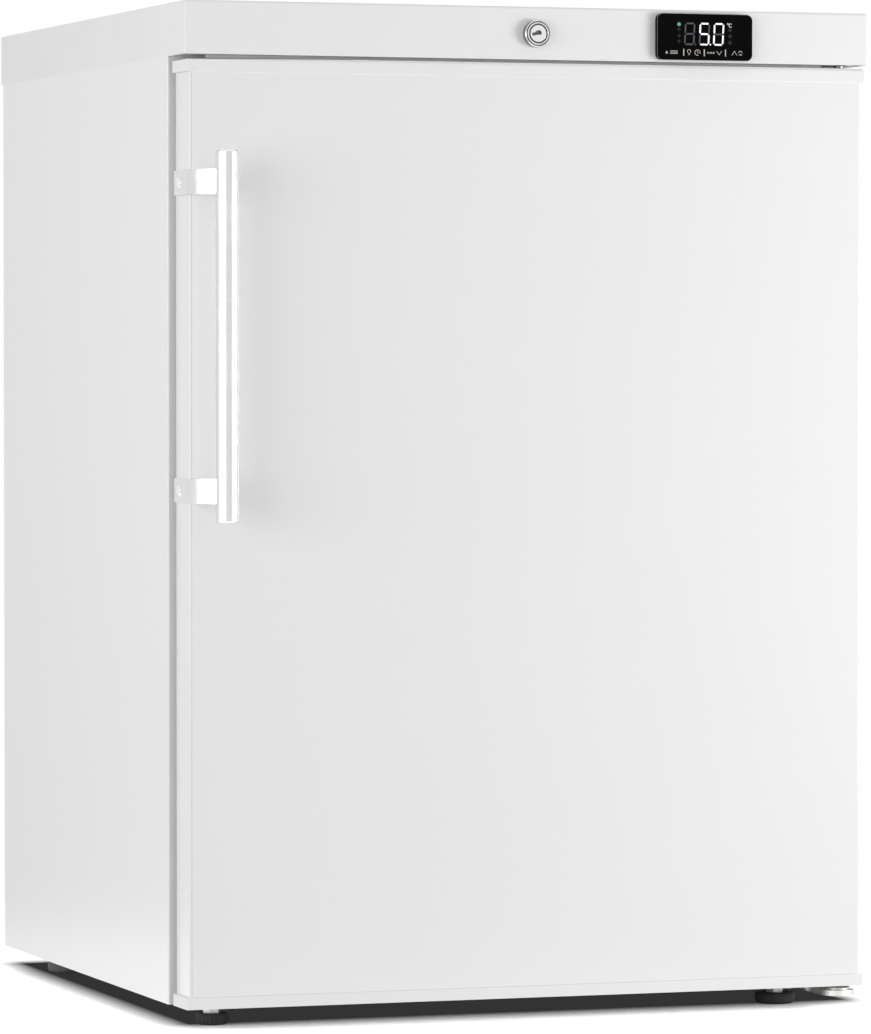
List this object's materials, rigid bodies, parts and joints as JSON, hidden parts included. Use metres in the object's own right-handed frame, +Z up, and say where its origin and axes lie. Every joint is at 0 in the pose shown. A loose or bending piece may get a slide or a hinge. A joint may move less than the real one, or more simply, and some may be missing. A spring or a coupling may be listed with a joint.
{
  "type": "medical refrigerator",
  "caption": "White undercounter medical refrigerator with a solid hinged door, bar handle, key lock, touch controller, wire shelves and levelling feet.",
  "frame": {"origin": "on the floor under the middle of the whole object's bounding box", "axes": "+X to the right seen from the front, -Y out of the door's front, +Z up"},
  "size_m": [0.6, 0.6334, 0.841],
  "materials": {
    "white_enamel": "smooth white powder coat",
    "white_moulding": "fine-grained white moulding",
    "liner_plastic": "glossy formed white sheet",
    "foam": "rigid polyurethane foam",
    "seal_rubber": "soft grey seal",
    "galvanised_steel": "zinc-coated sheet steel",
    "zinc_steel": "bright zinc-plated steel",
    "anodised_aluminium": "satin anodised",
    "polished_chrome": "polished",
    "lock_steel": "plain steel",
    "black_glass": "glossy black panel",
    "black_plastic": "black moulding",
    "black_rubber": "moulded black rubber",
    "coated_wire": "white coated wire",
    "coil_aluminium": "mill-finish fins and tube",
    "light_lens": "opal lens",
    "black_enamel": "black stoved paint",
    "copper": "drawn copper"
  },
  "bodies": {
    "cabinet": {"left_side_panel": "white_enamel", "right_side_panel": "white_enamel", "cabinet_top_panel": "white_enamel", "back_panel": "galvanised_steel", "base_panel": "galvanised_steel", "insulation": "foam", "inner_liner": "liner_plastic", "worktop": "white_moulding", "fascia_base": "white_moulding", "controller_housing": "black_plastic", "touch_panel": "black_glass", "lock_housing": "polished_chrome", "lock_nut": "lock_steel", "top_hinge_bracket": "zinc_steel", "bottom_hinge_bracket": "zinc_steel", "hinge_pins": "zinc_steel", "hinge_washer": "zinc_steel", "hinge_screws": "zinc_steel", "foot_nuts": "zinc_steel", "foot_inserts": "zinc_steel", "lower_shelf": "coated_wire", "middle_shelf": "coated_wire", "upper_shelf": "coated_wire", "evaporator_cover": "liner_plastic", "evaporator": "coil_aluminium", "evaporator_fan_frame": "black_plastic", "interior_light": "light_lens", "temperature_probe": "liner_plastic", "drain_tube": "black_plastic", "compressor_tray": "galvanised_steel", "compressor": "black_enamel", "compressor_mounts": "black_rubber", "compressor_terminal_box": "black_plastic", "evaporation_tray": "black_plastic", "condenser": "coil_aluminium", "condenser_fan_frame": "black_plastic", "filter_drier": "copper", "refrigerant_lines": "copper", "rear_grille": "galvanised_steel", "mains_inlet": "black_plastic", "rear_spacers": "black_plastic"},
    "door": {"door_skin": "white_enamel", "door_top_cap": "white_moulding", "door_bottom_cap": "white_moulding", "door_foam": "foam", "door_liner": "liner_plastic", "door_gasket": "seal_rubber", "handle_bar": "anodised_aluminium", "handle_brackets": "anodised_aluminium", "handle_screws": "polished_chrome", "door_plugs": "white_moulding", "door_hinge_bushes": "black_plastic"},
    "lock": {"lock_plug": "polished_chrome", "lock_cam": "lock_steel"},
    "evaporator_fan": {"evaporator_fan": "black_plastic"},
    "condenser_fan": {"condenser_fan": "black_plastic"},
    "front_left_foot": {"front_left_foot": "black_rubber"},
    "front_right_foot": {"front_right_foot": "black_rubber"},
    "rear_left_foot": {"rear_left_foot": "black_rubber"},
    "rear_right_foot": {"rear_right_foot": "black_rubber"}
  },
  "joints": [
    {"name": "door_hinge", "type": "hinge", "parent": "cabinet", "child": "door", "pos_m": [0.282, -0.25625, 0.39875], "axis": [0, 0, 1], "range_deg": [0, 115]},
    {"name": "lock_turn", "type": "hinge", "parent": "cabinet", "child": "lock", "pos_m": [0.002, -0.27725, 0.8186], "axis": [0, 1, 0], "range_deg": [0, 90]},
    {"name": "evaporator_fan_spin", "type": "hinge", "parent": "cabinet", "child": "evaporator_fan", "pos_m": [0, 0.18525, 0.64], "axis": [0, 1, 0], "continuous": true},
    {"name": "condenser_fan_spin", "type": "hinge", "parent": "cabinet", "child": "condenser_fan", "pos_m": [0.115, 0.218, 0.083], "axis": [1, 0, 0], "continuous": true},
    {"name": "front_left_foot_travel", "type": "slide", "parent": "cabinet", "child": "front_left_foot", "axis": [0, 0, -1], "range_m": [0, 0.012]},
    {"name": "front_right_foot_travel", "type": "slide", "parent": "cabinet", "child": "front_right_foot", "axis": [0, 0, -1], "range_m": [0, 0.012]},
    {"name": "rear_left_foot_travel", "type": "slide", "parent": "cabinet", "child": "rear_left_foot", "axis": [0, 0, -1], "range_m": [0, 0.012]},
    {"name": "rear_right_foot_travel", "type": "slide", "parent": "cabinet", "child": "rear_right_foot", "axis": [0, 0, -1], "range_m": [0, 0.012]}
  ]
}
